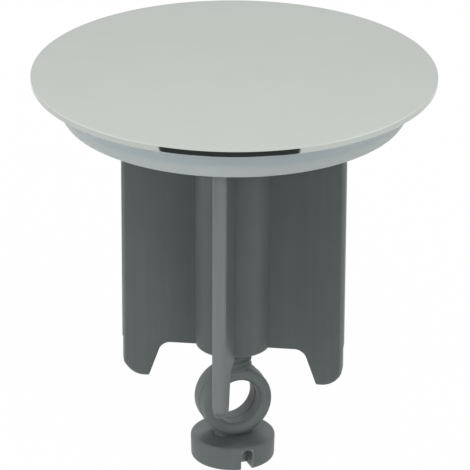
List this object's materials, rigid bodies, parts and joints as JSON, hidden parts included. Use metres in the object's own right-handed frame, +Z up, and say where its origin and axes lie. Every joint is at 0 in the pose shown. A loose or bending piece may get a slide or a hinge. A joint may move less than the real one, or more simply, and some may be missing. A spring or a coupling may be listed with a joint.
{
  "type": "pop-up drain stopper",
  "caption": "Basin waste plug: a domed chrome cap over a conical soft seal, a vaned plastic guide and an adjustable eye screw with a notched foot for the lever.",
  "frame": {"origin": "middle of the underside of the eye screw's foot, on the stopper's axis", "axes": "+Z up along the stopper's axis from the foot to the cap; the four vanes lie on +X, -X, +Y and -Y"},
  "size_m": [0.063, 0.063, 0.0666],
  "materials": {
    "chrome_plate": "polished",
    "stud_brass": "turned",
    "soft_seal": "soft translucent",
    "guide_plastic": "satin moulded",
    "screw_plastic": "satin moulded"
  },
  "bodies": {
    "stopper": {"cap": "chrome_plate", "cap_stud": "stud_brass", "seal_ring": "soft_seal", "guide": "guide_plastic"},
    "shank": {"screw_shank": "screw_plastic"},
    "eye": {"screw_eye": "screw_plastic"}
  },
  "joints": [
    {"name": "screw_travel", "type": "slide", "parent": "stopper", "child": "shank", "axis": [0, 0, 1], "range_m": [-0.01, 0.00325]},
    {"name": "screw_turn", "type": "hinge", "parent": "shank", "child": "eye", "pos_m": [0, 0, 0], "axis": [0, 0, 1], "range_deg": [-3602, 1172]}
  ],
  "couplings": [
    {"joint": "screw_turn", "follows": "screw_travel", "rad_per_m": 6283.2}
  ]
}
